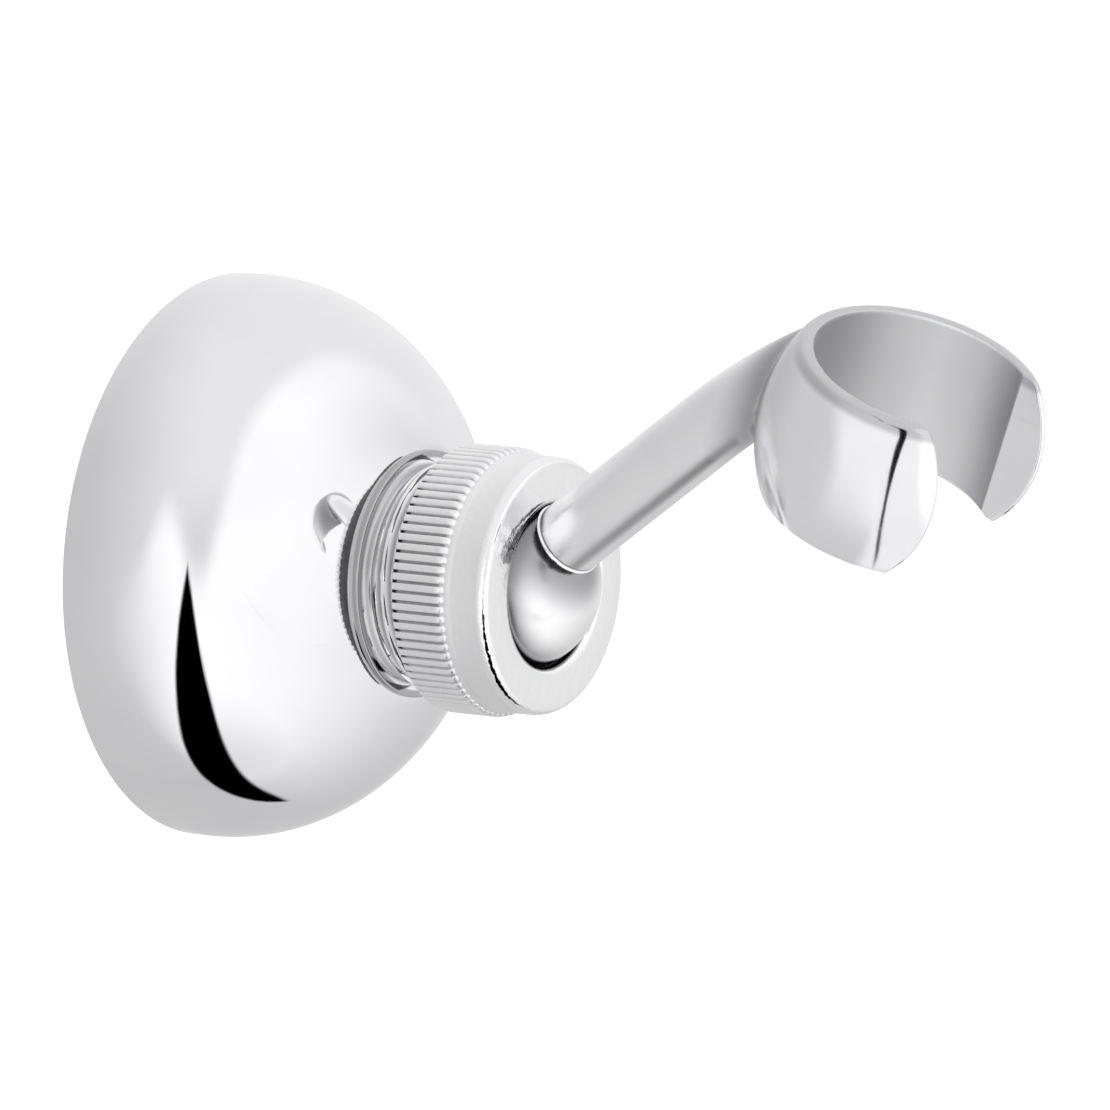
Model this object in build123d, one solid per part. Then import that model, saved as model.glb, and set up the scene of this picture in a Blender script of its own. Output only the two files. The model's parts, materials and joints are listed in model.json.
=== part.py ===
"""Wall holder for a hand shower: a bell rose, a clamped ball joint and an open cradle on a bent arm."""
import os
from math import acos, atan, atan2, cos, degrees, hypot, pi, radians, sin, sqrt, tan

from build123d import *

# Distances from the wall run along -Y, radii are taken from the axis of the nut
# Fits between pieces
running_gap = 0.05
seat_gap = 0.08
loose_gap = 0.30
edge_break = 0.30

# Rose
rose_r = 34.0
rose_edge = 2.0
rose_rise = 28.8
rose_land_cut = 3.0
rose_wall = 1.5
rose_front = rose_edge + rose_rise - rose_land_cut

# Wall plate
plate_r = 27.0
plate_t = 3.0
boss_r = 13.0
boss_front = 14.0
screw_count = 3
screw_hole_r = 2.4
screw_head_r = 4.4
screw_circle_r = (boss_r + plate_r) / 2

# Ball, with the cup and the disc behind it and the ring in front of it
ball_r = 10.5
ball_centre = 40.9
washer_t = 1.5
seat_floor_t = 1.32
seat_short = 2.1
ring_lead = 0.7
ring_t = 2.8
seat_front = ball_centre - seat_short
ring_back = ball_centre + ring_lead
ring_front = ring_back + ring_t

# Socket body
stem_r = 9.0
stem_back = 1.0
hub_r = 12.6
hub_len = 5.8
socket_room = 1.1
neck_wall = 1.25
neck_short = 1.4
collar_lip = 1.05
collar_t = 0.9
thread_depth = 0.9
thread_pitch = 1.5
thread_crest = 0.3
thread_flank = 0.5
thread_relief = 0.6
socket_r = ball_r + socket_room
socket_floor = ball_centre - ball_r - seat_gap - seat_floor_t - washer_t
neck_front = ball_centre - neck_short
neck_root_r = socket_r + neck_wall
thread_r = neck_root_r + thread_depth
collar_r = thread_r + collar_lip
ring_step = 0.8
ring_r = thread_r - ring_step

# Clamp nut
nut_len = 12.75
nut_wall = 1.7
nut_lip_t = 2.4
mouth_lip = 0.8
mouth_round = 1.0
pocket_room = 0.6
knurl_len = 7.35
knurl_depth = 0.5
knurl_count = 84
knurl_land = 0.5
knurl_bevel = 0.9
nose_slope = 0.6
nose_step = 0.2
nose_round = 0.6
nut_face = ring_front + nut_lip_t
nut_back = nut_face - nut_len
knurl_front = nut_back + knurl_len
nose_back = knurl_front + nose_slope
nut_bore_r = thread_r + running_gap
knurl_root_r = nut_bore_r + nut_wall
knurl_r = knurl_root_r + knurl_depth
nose_r = knurl_root_r - nose_step
mouth_r = ball_r - mouth_lip

# Stud between ball and arm
stud_neck_r = 3.6
bead_r = 4.6
bead_sunk = 0.1
bead_w = 1.0
bead_round = 0.45
shank_r = 2.5
shank_len = 10.2
bead_back = ball_r - bead_sunk
bead_front = bead_back + bead_w
shank_end = bead_front + shank_len

# Arm and cradle, measured from the ball's centre along the arm
arm_r = 4.42
arm_straight = 26.6
arm_bend_r = 92.0
arm_bend_angle = 15.5
bore_lean = 46.8
bore_r = 12.5
bore_foot_bevel = 0.7
cradle_h = 18.9
wall_mid = 3.95
wall_end = 1.55
slot_w = 20.8
root_sunk = 4.0
root_below_rim = 1.78
barrel_spare = 4.5
rim_round = 0.4
rim_outer_round = 0.9
tip_round = 8.0
blend_r = 3.5
arm_straight_end = bead_front + arm_straight

# Pose of the arm: raised until its neck is near the mouth of the nut, turned aside and twisted
mouth_room = 0.98
arm_swivel = -15.3
arm_twist = 8.1
mouth_reach = mouth_r - mouth_room
mouth_depth = nut_face - ball_centre
arm_tilt = degrees(acos(stud_neck_r / hypot(mouth_reach, mouth_depth)) - atan2(mouth_depth, mouth_reach))


def turned(*corners):
    """Solid of revolution about the nut axis from corners given as radius and distance from the wall."""
    return revolve(make_face(Polyline(*[(r, -d) for r, d in corners], close=True)), Axis.Y)


def ball_at(radius):
    """Sphere about the centre of the ball joint."""
    return Pos(0, -ball_centre, 0) * Sphere(radius)


def bell(inset):
    """Solid bell of the rose, drawn inward by the inset."""
    dome = Pos(0, -rose_edge) * Ellipse(rose_r - inset, rose_rise - inset)
    front = rose_front - inset
    slab = Pos(rose_r / 2, -(rose_edge + front) / 2) * Rectangle(rose_r, front - rose_edge)
    skirt = Pos((rose_r - inset) / 2, -rose_edge / 2) * Rectangle(rose_r - inset, rose_edge)
    return revolve((dome & slab) + skirt, Axis.Y)


def make_rose():
    """Hollow bell with a flat land and a hole for the hub."""
    hole_r = hub_r + loose_gap
    return bell(0) - bell(rose_wall) - turned((0, 0), (hole_r, 0), (hole_r, nut_face), (0, nut_face))


def make_plate():
    """Round plate with countersunk screw holes and a threaded boss."""
    plate = turned(
        (stem_r + running_gap, 0),
        (plate_r, 0),
        (plate_r, plate_t - edge_break),
        (plate_r - edge_break, plate_t),
        (boss_r, plate_t),
        (boss_r, boss_front),
        (stem_r + running_gap, boss_front),
    )
    sink = screw_head_r - screw_hole_r
    hole = turned(
        (0, 0),
        (screw_hole_r, 0),
        (screw_hole_r, plate_t - sink),
        (screw_head_r, plate_t),
        (0, plate_t),
    )
    for step in range(screw_count):
        turn = radians(90 + step * 360 / screw_count)
        plate -= Pos(screw_circle_r * cos(turn), 0, screw_circle_r * sin(turn)) * hole
    return plate


def make_body():
    """Collar, ridged neck and blind socket in front of the rose, hub and stem behind it."""
    hub_back = rose_front - hub_len
    collar_front = rose_front + collar_t
    corners = [
        (0, stem_back),
        (stem_r - edge_break, stem_back),
        (stem_r, stem_back + edge_break),
        (stem_r, hub_back),
        (hub_r, hub_back),
        (hub_r, rose_front),
        (collar_r, rose_front),
        (collar_r, collar_front - edge_break),
        (collar_r - edge_break, collar_front),
    ]
    corners += [(neck_root_r, collar_front)]
    ridge = collar_front + thread_relief
    while ridge + thread_pitch <= neck_front:
        corners += [
            (neck_root_r, ridge),
            (thread_r, ridge + thread_flank),
            (thread_r, ridge + thread_flank + thread_crest),
            (neck_root_r, ridge + 2 * thread_flank + thread_crest),
        ]
        ridge += thread_pitch
    corners += [(neck_root_r, neck_front), (socket_r, neck_front)]
    corners += [(socket_r, socket_floor), (0, socket_floor)]
    return turned(*corners)


def make_washer():
    """Flat disc on the floor of the socket."""
    front = socket_floor + washer_t
    r = socket_r - running_gap
    return turned((0, socket_floor), (r, socket_floor), (r, front), (0, front))


def make_seat():
    """Cup behind the ball."""
    back = socket_floor + washer_t
    r = socket_r - running_gap
    return turned((0, back), (r, back), (r, seat_front), (0, seat_front)) - ball_at(ball_r + seat_gap)


def make_ring():
    """Ring in the nose of the nut that bears on the front of the ball."""
    cup = turned((0, ring_back), (ring_r, ring_back), (ring_r, ring_front), (0, ring_front))
    return cup - ball_at(ball_r + seat_gap)


def make_nut():
    """Knurled nut with a smooth nose and a mouth that follows the ball."""
    pocket = ring_r + running_gap
    nut = turned(
        (nut_bore_r, nut_back),
        (knurl_root_r, nut_back),
        (knurl_root_r, knurl_front),
        (nose_r, nose_back),
        (nose_r, nut_face),
        (mouth_r, nut_face),
        (mouth_r, ring_front),
        (pocket, ring_front),
        (pocket, ring_back - pocket_room),
        (nut_bore_r, ring_back - pocket_room),
    )
    face_edges = nut.edges().filter_by(GeomType.CIRCLE).group_by(Axis.Y)[0].sort_by(SortBy.RADIUS)
    nut = fillet(face_edges[-1], nose_round)
    mouth_edge = nut.edges().filter_by(GeomType.CIRCLE).group_by(Axis.Y)[0].sort_by(SortBy.RADIUS)[0]
    nut = fillet(mouth_edge, mouth_round)
    step = 2 * pi / knurl_count
    teeth = []
    for tooth in range(knurl_count):
        first = tooth * step
        last = first + knurl_land * step
        valley = last + (1 - knurl_land) * step / 2
        teeth += [(knurl_r * cos(first), knurl_r * sin(first)), (knurl_r * cos(last), knurl_r * sin(last))]
        teeth += [(knurl_root_r * cos(valley), knurl_root_r * sin(valley))]
    star = Plane.XZ * make_face(Polyline(*teeth, close=True))
    knurl = Pos(0, -nut_back, 0) * extrude(star, knurl_front - nut_back)
    bevelled = turned(
        (nut_bore_r, nut_back),
        (knurl_r - edge_break, nut_back),
        (knurl_r, nut_back + edge_break),
        (knurl_r, knurl_front - knurl_bevel),
        (knurl_root_r, knurl_front),
        (nut_bore_r, knurl_front),
    )
    return nut + (knurl & bevelled) - ball_at(ball_r + loose_gap)


def make_stud():
    """Ball with its neck, bead and shank, drawn with the arm straight out from the wall."""
    stem = turned(
        (0, 0),
        (stud_neck_r, 0),
        (stud_neck_r, bead_back),
        (bead_r - bead_round, bead_back),
        (bead_r, bead_back + bead_round),
        (bead_r, bead_front - bead_round),
        (bead_r - bead_round, bead_front),
        (shank_r, bead_front),
        (shank_r, shank_end - edge_break),
        (shank_r - edge_break, shank_end),
        (0, shank_end),
    )
    return Sphere(ball_r) + stem


def make_cradle_arm():
    """Bent arm running into an open barrel, drawn with the arm straight out from the wall."""
    bend = radians(arm_bend_angle)
    hub = Vector(0, -arm_straight_end, -arm_bend_r)
    bent = lambda angle: hub + Vector(0, -sin(angle), cos(angle)) * arm_bend_r
    straight = Line((0, -bead_front, 0), bent(0))
    curve = ThreePointArc(bent(0), bent(bend / 2), bent(bend))
    arm = sweep(Plane(straight @ 0, z_dir=straight % 0) * Circle(arm_r), straight + curve)

    lean = radians(bore_lean) - bend
    forward = Vector(0, -sin(lean), -cos(lean))
    upward = Vector(0, -cos(lean), sin(lean))
    half_h = cradle_h / 2
    centre = bent(bend) + forward * (bore_r - root_sunk) - upward * (half_h - root_below_rim)
    seat = Plane(centre, x_dir=forward, z_dir=upward)
    end_r = bore_r + wall_end
    sag = wall_mid - wall_end
    taper = 2 * half_h * sag / (half_h**2 - sag**2)
    top = Vector(end_r - taper * barrel_spare, 0, half_h + barrel_spare)
    outline = Curve() + [
        Polyline((end_r, 0, half_h), top, (0, 0, top.Z), (0, 0, -half_h), (end_r, 0, -half_h)),
        ThreePointArc((end_r, 0, -half_h), (end_r + sag, 0, 0), (end_r, 0, half_h)),
    ]
    casting = arm + seat * revolve(make_face(outline), Axis.Z)
    casting = fillet(casting.edges().filter_by(GeomType.BSPLINE), blend_r)

    bore = Cylinder(bore_r, 2 * cradle_h)
    foot_low = bore_foot_bevel / 2 - half_h
    foot = Pos(0, 0, foot_low) * Cone(bore_r + bore_foot_bevel, bore_r, bore_foot_bevel)
    slot = Pos(cradle_h, 0, 0) * Box(2 * cradle_h, slot_w, 2 * cradle_h)
    above = Pos(0, 0, half_h + cradle_h) * Box(4 * cradle_h, 4 * cradle_h, 2 * cradle_h)
    casting = casting - seat * above - seat * bore - seat * foot - seat * slot

    slope = atan(taper)
    tip = sqrt(end_r**2 - (slot_w / 2) ** 2) - tip_round * tan(slope / 2)
    tip_low = half_h - tip_round
    tip_block = Pos(tip + cradle_h, 0, tip_low + cradle_h) * Box(2 * cradle_h, 4 * cradle_h, 2 * cradle_h)
    tip_block -= Pos(tip, 0, tip_low) * Rot(90, 0, 0) * Cylinder(tip_round, 4 * cradle_h)
    casting -= seat * tip_block

    upper_face = lambda solid: solid.faces().filter_by(seat).sort_by(Axis(seat.origin, seat.z_dir))[-1]
    casting = fillet(upper_face(casting).edges().sort_by(SortBy.LENGTH)[-1], rim_outer_round)
    bore_edge = upper_face(casting).edges().filter_by(GeomType.CIRCLE)
    walls = casting.faces().filter_by(Plane.YZ)
    return fillet(ShapeList(set(bore_edge + walls.edges())), rim_round)


arm_pose = Pos(0, -ball_centre, 0) * Rot(0, arm_swivel, 0) * Rot(-arm_tilt, 0, 0) * Rot(0, arm_twist, 0)
shank_hole = turned(
    (0, bead_front),
    (shank_r + running_gap, bead_front),
    (shank_r + running_gap, shank_end + loose_gap),
    (0, shank_end + loose_gap),
)

os.makedirs("parts", exist_ok=True)
export_step(make_plate(), "parts/wall_plate.step")
export_step(make_rose(), "parts/wall_rose.step")
export_step(make_body(), "parts/socket_body.step")
export_step(make_washer(), "parts/seat_washer.step")
export_step(make_seat(), "parts/ball_seat.step")
export_step(make_ring(), "parts/friction_ring.step")
export_step(make_nut(), "parts/clamp_nut.step")
export_step(arm_pose * make_stud(), "parts/ball_stud.step")
export_step(arm_pose * (make_cradle_arm() - shank_hole), "parts/cradle_arm.step")
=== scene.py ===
"""Dresses the hand shower holder: plated brass with a clamped ball joint, shown in a white light tent."""
import json
import logging
import math
from dataclasses import dataclass, field
from enum import Enum
from functools import reduce

import bpy
from mathutils import Matrix, Vector


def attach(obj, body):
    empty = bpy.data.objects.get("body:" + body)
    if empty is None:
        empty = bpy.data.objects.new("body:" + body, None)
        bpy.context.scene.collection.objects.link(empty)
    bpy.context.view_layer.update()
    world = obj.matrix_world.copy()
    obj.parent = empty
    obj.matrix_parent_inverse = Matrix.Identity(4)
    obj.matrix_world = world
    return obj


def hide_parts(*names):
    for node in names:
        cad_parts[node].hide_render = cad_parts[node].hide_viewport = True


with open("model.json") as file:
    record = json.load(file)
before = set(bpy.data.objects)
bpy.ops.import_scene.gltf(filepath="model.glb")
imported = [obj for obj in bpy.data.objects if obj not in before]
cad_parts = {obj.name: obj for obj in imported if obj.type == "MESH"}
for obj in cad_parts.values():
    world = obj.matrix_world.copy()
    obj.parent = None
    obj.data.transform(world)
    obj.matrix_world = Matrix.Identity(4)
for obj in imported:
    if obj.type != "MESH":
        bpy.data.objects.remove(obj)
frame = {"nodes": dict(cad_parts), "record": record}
LOG = logging.getLogger("hand_shower_holder")
Material = bpy.types.Material
NodeSocket = bpy.types.NodeSocket
NodeTree = bpy.types.ShaderNodeTree
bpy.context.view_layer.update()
Pair = tuple[float, float]
Triple = tuple[float, float, float]
Line = tuple[Pair, ...]
Paint = tuple[NodeSocket, NodeSocket]
OUT = (0.0, -1.0, 0.0)
ALONG_WALL = (1.0, 0.0, 1.0)
WHITE = (1.0, 1.0, 1.0)


class Sheen(Enum):
    """How far a surface has been polished before plating."""

    MIRROR = 0.025
    BUFFED = 0.06
    POLISHED = 0.12
    SATIN = 0.22
    DULL = 0.32
    BLASTED = 0.44
    RAW = 0.55


def even(start: float, step: float, *results: float) -> Line:
    """Pairs results with values that go on from the first one by even steps."""
    return tuple((start + step * place, result) for place, result in enumerate(results))


def rounded(reach: float, out: float, radius: float, start: float, end: float, steps: int) -> list[Pair]:
    """Draws an arc round a centre between two directions in degrees, 0 off the axis and 90 off the wall."""
    angles = [math.radians(start + (end - start) * step / steps) for step in range(steps + 1)]
    return [(reach + radius * math.cos(angle), out + radius * math.sin(angle)) for angle in angles]


class NodeSketch:
    """Thin hand for a shader tree: adds nodes, fills sockets and links in one call."""

    def __init__(self, tree: bpy.types.NodeTree) -> None:
        """Keeps the tree of a material, a world or a group."""
        self.tree = tree

    def add(self, kind: str, inputs: dict | None = None, **settings: object) -> bpy.types.Node:
        """Adds one node and fills its sockets.

        Args:
            kind: The node's type name.
            inputs: Values or sockets by input name or index.
            settings: Plain properties of the node.

        Returns:
            The new node.
        """
        node = self.tree.nodes.new(kind)
        for name, value in settings.items():
            setattr(node, name, value)
        self.feed(node, inputs or {})
        return node

    def feed(self, node: bpy.types.Node, inputs: dict) -> None:
        """Links sockets to a node's inputs, or sets the inputs' own values.

        Args:
            node: The node that is fed.
            inputs: Values or sockets by input name or index. A plain colour is three numbers.
        """
        for name, value in inputs.items():
            entry = node.inputs[name]
            if isinstance(value, NodeSocket):
                self.tree.links.new(value, entry)
            else:
                entry.default_value = (*value, 1.0) if entry.type == "RGBA" else value

    def math(self, operation: str, *values: object) -> NodeSocket:
        """Adds a math node for up to three values or sockets and gives its result."""
        return self.add("ShaderNodeMath", dict(enumerate(values)), operation=operation).outputs[0]

    def product(self, *factors: object) -> NodeSocket:
        """Multiplies values or sockets."""
        return reduce(lambda first, other: self.math("MULTIPLY", first, other), factors)

    def vector(self, operation: str, *vectors: object) -> NodeSocket:
        """Adds a vector math node for vectors or sockets and gives its result, a number or a vector."""
        node = self.add("ShaderNodeVectorMath", dict(enumerate(vectors)), operation=operation)
        return node.outputs["Value" if operation in ("DOT_PRODUCT", "LENGTH") else "Vector"]

    def reach(self, place: NodeSocket) -> NodeSocket:
        """Measures how far a point is from the nut's axis, which is the wall's normal."""
        return self.vector("LENGTH", self.vector("MULTIPLY", place, ALONG_WALL))

    def step(self, value: NodeSocket, low: float, high: float, start: float = 0.0, end: float = 1.0) -> NodeSocket:
        """Adds a smooth step from one result at the low value to another at the high one."""
        inputs = {"Value": value, "From Min": low, "From Max": high, "To Min": start, "To Max": end}
        return self.add("ShaderNodeMapRange", inputs, interpolation_type="SMOOTHSTEP").outputs[0]

    def fall(self, value: NodeSocket, low: float, high: float) -> NodeSocket:
        """Adds a smooth step from 1 at the low value to 0 at the high one."""
        return self.step(value, low, high, 1.0, 0.0)

    def blend(self, share: object, first: object, second: object) -> NodeSocket:
        """Mixes two numbers by the share of the second one."""
        return self.add("ShaderNodeMix", {0: share, 2: first, 3: second}, data_type="FLOAT").outputs[0]

    def tint(self, share: object, first: object, second: object) -> NodeSocket:
        """Mixes two colours by the share of the second one."""
        return self.add("ShaderNodeMix", {0: share, 6: first, 7: second}, data_type="RGBA").outputs[2]

    def noise(self, place: NodeSocket, scale: object, detail: float = 2.0) -> NodeSocket:
        """Adds a noise texture and gives its value."""
        return self.add("ShaderNodeTexNoise", {"Vector": place, "Scale": scale, "Detail": detail}).outputs["Fac"]

    def ramp(self, value: NodeSocket, stops: Line) -> NodeSocket:
        """Adds a smooth line through a row of points.

        Args:
            value: The socket that is read.
            stops: Pairs of value and result, the first and the last at the ends of the line.

        Returns:
            The line's socket.
        """
        start, end = stops[0][0], stops[-1][0]
        results = [result for _, result in stops]
        low, rise = min(results), max(results) - min(results)
        share = self.math("DIVIDE", self.math("SUBTRACT", value, start), end - start)
        node = self.add("ShaderNodeValToRGB", {0: share})
        line = node.color_ramp
        line.interpolation = "B_SPLINE"
        for place, _ in stops[1:-1]:
            line.elements.new((place - start) / (end - start))
        for stop, result in zip(line.elements, results):
            stop.color = (*[(result - low) / rise] * 3, 1.0)
        return self.math("MULTIPLY_ADD", node.outputs[0], rise, low)

    def relief(self, layers: list[tuple[float, float, NodeSocket]]) -> NodeSocket:
        """Lays bumps one over the other.

        Args:
            layers: Strength, depth in metres and height of each.

        Returns:
            The normal's socket.
        """
        below = {}
        for strength, depth, height in layers:
            bump = self.add("ShaderNodeBump", {"Strength": strength, "Distance": depth, "Height": height, **below})
            below = {"Normal": bump.outputs[0]}
        return below["Normal"]


def new_group(name: str, inputs: dict[str, str], outputs: dict[str, str]) -> tuple[NodeSketch, dict]:
    """Starts a node group and gives it its named sockets.

    Args:
        name: Name of the group.
        inputs: Kind of each input by its name.
        outputs: Kind of each output by its name.

    Returns:
        The hand for the group's tree, and its inputs' sockets by name.
    """
    group = bpy.data.node_groups.new(name, "ShaderNodeTree")
    for way, sockets in (("INPUT", inputs), ("OUTPUT", outputs)):
        for label, kind in sockets.items():
            group.interface.new_socket(label, in_out=way, socket_type="NodeSocket" + kind)
    pen = NodeSketch(group)
    source = pen.add("NodeGroupInput").outputs
    return pen, {label: source[label] for label in inputs}


def blank_material(name: str) -> tuple[Material, NodeSketch, bpy.types.Node]:
    """Starts a material.

    Args:
        name: Its name.

    Returns:
        The material, the hand for its tree and its shader.
    """
    made = bpy.data.materials.new(name)
    made.use_nodes = True
    return made, NodeSketch(made.node_tree), made.node_tree.nodes["Principled BSDF"]


@dataclass
class EffectKit:
    """The three effects that the finishes share, each a node group built once.

    Haze, specks and flow marks have a scale and a detail, and an edge is the noise values between which a mark
    sets in. The drift is how fast a turning mark changes round the axis.
    """

    haze: Pair = (55.0, 3.0)
    haze_edge: Pair = (0.38, 0.66)
    speck: Pair = (900.0, 2.0)
    speck_edge: Pair = (0.45, 0.75)
    speck_share: float = 0.35
    ring_drift: float = 0.6
    ring_edge: Pair = (0.3, 0.7)
    flow: Pair = (120.0, 2.0)

    def __post_init__(self) -> None:
        """Builds the groups."""
        self.plating = self.buffed_plating()
        self.lathe = self.lathe_lines()
        self.skin = self.moulded_skin()

    def buffed_plating(self) -> NodeTree:
        """Builds the plated surface: buffing haze, faint colour drift and a little waviness.

        Returns:
            The node group.
        """
        pen, source = new_group(
            "buffed_plating",
            {"Coordinates": "Vector", "Gloss": "Float", "Haze": "Float", "Bright": "Color", "Cool": "Color"},
            {"Colour": "Color", "Roughness": "Float", "Waves": "Float", "Grain": "Float"},
        )
        broad, fine = (pen.noise(source["Coordinates"], *size) for size in (self.haze, self.speck))
        cloud = pen.step(broad, *self.haze_edge)
        film = pen.blend(self.speck_share, cloud, pen.step(fine, *self.speck_edge))
        rough = pen.math("MULTIPLY_ADD", film, source["Haze"], source["Gloss"])
        colour = pen.tint(cloud, source["Bright"], source["Cool"])
        pen.add("NodeGroupOutput", {"Colour": colour, "Roughness": rough, "Waves": broad, "Grain": fine})
        return pen.tree

    def lathe_lines(self) -> NodeTree:
        """Builds the fine rings that a turning tool leaves round the wall's normal.

        Returns:
            The node group.
        """
        pen, source = new_group("lathe_lines", {"Coordinates": "Vector", "Pitch": "Float"}, {"Rings": "Float"})
        axes = pen.add("ShaderNodeSeparateXYZ", {0: source["Coordinates"]}).outputs
        turn = pen.math("ARCTAN2", axes["X"], axes["Z"])
        across = pen.math("ADD", pen.reach(source["Coordinates"]), axes["Y"])
        spot = {0: pen.math("DIVIDE", across, source["Pitch"]), 1: pen.product(turn, self.ring_drift)}
        marks = pen.noise(pen.add("ShaderNodeCombineXYZ", spot).outputs[0], 1.0)
        pen.add("NodeGroupOutput", {"Rings": pen.step(marks, *self.ring_edge)})
        return pen.tree

    def moulded_skin(self) -> NodeTree:
        """Builds the skin of a moulded part: spark-eroded grain and a faint flow mark.

        Returns:
            The node group.
        """
        marks = {"Shade": "Float", "Relief": "Float"}
        pen, source = new_group("moulded_skin", {"Coordinates": "Vector", "Grain": "Float"}, marks)
        flow = pen.noise(source["Coordinates"], *self.flow)
        grain = pen.noise(source["Coordinates"], source["Grain"])
        pen.add("NodeGroupOutput", {"Shade": flow, "Relief": grain})
        return pen.tree


@dataclass(frozen=True)
class Skin:
    """Plain plating in a material's tree, and the polish under it, for a finish to change over the piece."""

    pen: NodeSketch
    place: NodeSocket
    colour: NodeSocket
    rough: NodeSocket
    sheen: Sheen

    def polished(self, sheen: Sheen) -> NodeSocket:
        """Gives the roughness that another polish leaves."""
        return self.pen.math("ADD", self.rough, sheen.value - self.sheen.value)


@dataclass(frozen=True)
class PlatedFinish:
    """Bright plating on turned or cast brass.

    Attributes:
        bright: Colour of the clean plating.
        cool: Colour where a film dulls it.
        haze: Extra roughness where buffing left a film.
        ripple: Depth of the waviness, in metres.
        ring_pitch: Spacing of the turning marks, in metres, or 0 for none.
        grain_depth: Depth of the blasted grain, in metres, or 0 for none.
        soft: Strength of the waviness and the turning marks.
        pitted: Strength of the blasted grain.
    """

    name: str
    sheen: Sheen
    bright: Triple = (0.83, 0.828, 0.843)
    cool: Triple = (0.8, 0.797, 0.822)
    haze: float = 0.03
    ripple: float = 0.000004
    ring_pitch: float = 0.0
    ring_depth: float = 0.000002
    grain_depth: float = 0.0
    soft: float = 0.2
    pitted: float = 0.3

    def material(self, kit: EffectKit) -> Material:
        """Builds the material.

        Args:
            kit: The shared effects.

        Returns:
            The material.
        """
        made, pen, shader = blank_material(self.name)
        place = pen.add("ShaderNodeTexCoord").outputs["Object"]
        film = pen.add("ShaderNodeGroup", node_tree=kit.plating, inputs={
            "Coordinates": place, "Gloss": self.sheen.value, "Haze": self.haze,
            "Bright": self.bright, "Cool": self.cool,
        }).outputs
        layers = [(self.soft, self.ripple, film["Waves"])]
        if self.ring_pitch:
            marks = {"Coordinates": place, "Pitch": self.ring_pitch}
            rings = pen.add("ShaderNodeGroup", marks, node_tree=kit.lathe).outputs["Rings"]
            layers.append((self.soft, self.ring_depth, rings))
        if self.grain_depth:
            layers.append((self.pitted, self.grain_depth, film["Grain"]))
        colour, rough = self.paint(Skin(pen, place, film["Colour"], film["Roughness"], self.sheen))
        normal = pen.relief(layers)
        pen.feed(shader, {"Metallic": 1.0, "Base Color": colour, "Roughness": rough, "Normal": normal})
        return made

    def paint(self, skin: Skin) -> Paint:
        """Leaves colour and roughness as they are, for finishes that change over the piece to override."""
        return skin.colour, skin.rough


@dataclass(frozen=True)
class CradleFinish(PlatedFinish):
    """Plating of the cast arm: satin on the arm, polished on the horns, dull down the bore, with painted shade on
    the barrel's back, the rim and the bore's wall.

    Lengths are in metres, and a pair says where a change starts and where it is full. A reach is a radius
    round the bore, a height is over its middle, and the other places are towards the slot.

    Attributes:
        bore_axis: Direction of the bore, up out of its rim.
        slot_way: Direction from the bore's middle to the slot.
        bore_shade: Colour of the middle of the bore's wall.
        bore_edge: Painted shade on the bore's wall towards the slot and towards the arm.
        bore_gradient: Middle of the bore's lighter part, and how far from it the painted shade sets in and is
            full.
        root_shade: Painted shade on the barrel's back beside the arm's root, where its reflection is darker.
        root_zone: Where that colour starts, is full and ends.
    """

    bore_centre: Triple = (0.0, 0.0, 0.0)
    bore_axis: Triple = (0.0, 0.0, 1.0)
    slot_way: Triple = OUT
    bore_reach: Pair = (0.01258, 0.01268)
    bore_shade: Triple = (0.93, 0.93, 0.95)
    bore_edge: Triple = (0.4, 0.4, 0.42)
    bore_gradient: Triple = (-0.002, 0.002, 0.0115)
    bore_sheen: Sheen = Sheen.RAW
    # Painted shade: the rim's top is greyer than the plating.
    rim_height: Pair = (0.0078, 0.0086)
    rim_reach: Pair = (0.015, 0.0175)
    rim_shade: Triple = (0.58, 0.58, 0.595)
    root_shade: Triple = (0.42, 0.42, 0.435)
    root_zone: Triple = (-0.0225, -0.0165, -0.005)
    horn_sheen: Sheen = Sheen.BUFFED
    horn_start: Pair = (-0.012, 0.004)

    def paint(self, skin: Skin) -> Paint:
        """Paints shade onto the root, the rim and the bore's wall, polishes the horns and leaves the bore dull.

        Args:
            skin: The plain plating.

        Returns:
            Colour and roughness.
        """
        pen = skin.pen
        arm = pen.vector("SUBTRACT", skin.place, self.bore_centre)
        reach = pen.vector("LENGTH", pen.vector("CROSS_PRODUCT", arm, self.bore_axis))
        height = pen.vector("DOT_PRODUCT", arm, self.bore_axis)
        ahead = pen.vector("DOT_PRODUCT", arm, self.slot_way)
        # Painted shade on the barrel's back, beside the arm's root.
        start, full, end = self.root_zone
        root = pen.product(pen.step(ahead, start, full), pen.fall(ahead, full, end))
        colour = pen.tint(root, skin.colour, self.root_shade)
        # Painted shade on the rim's top.
        rim = pen.product(pen.step(height, *self.rim_height), pen.fall(reach, *self.rim_reach))
        colour = pen.tint(rim, colour, self.rim_shade)
        # Painted shade: the bore's wall darkens from its middle towards the slot and the arm.
        middle, near, far = self.bore_gradient
        painted_gradient = pen.step(pen.math("ABSOLUTE", pen.math("SUBTRACT", ahead, middle)), near, far)
        bore = pen.tint(painted_gradient, self.bore_shade, self.bore_edge)
        horn = pen.blend(pen.step(ahead, *self.horn_start), skin.rough, skin.polished(self.horn_sheen))
        outside = pen.step(reach, *self.bore_reach)
        return pen.tint(outside, bore, colour), pen.blend(outside, skin.polished(self.bore_sheen), horn)


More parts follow.
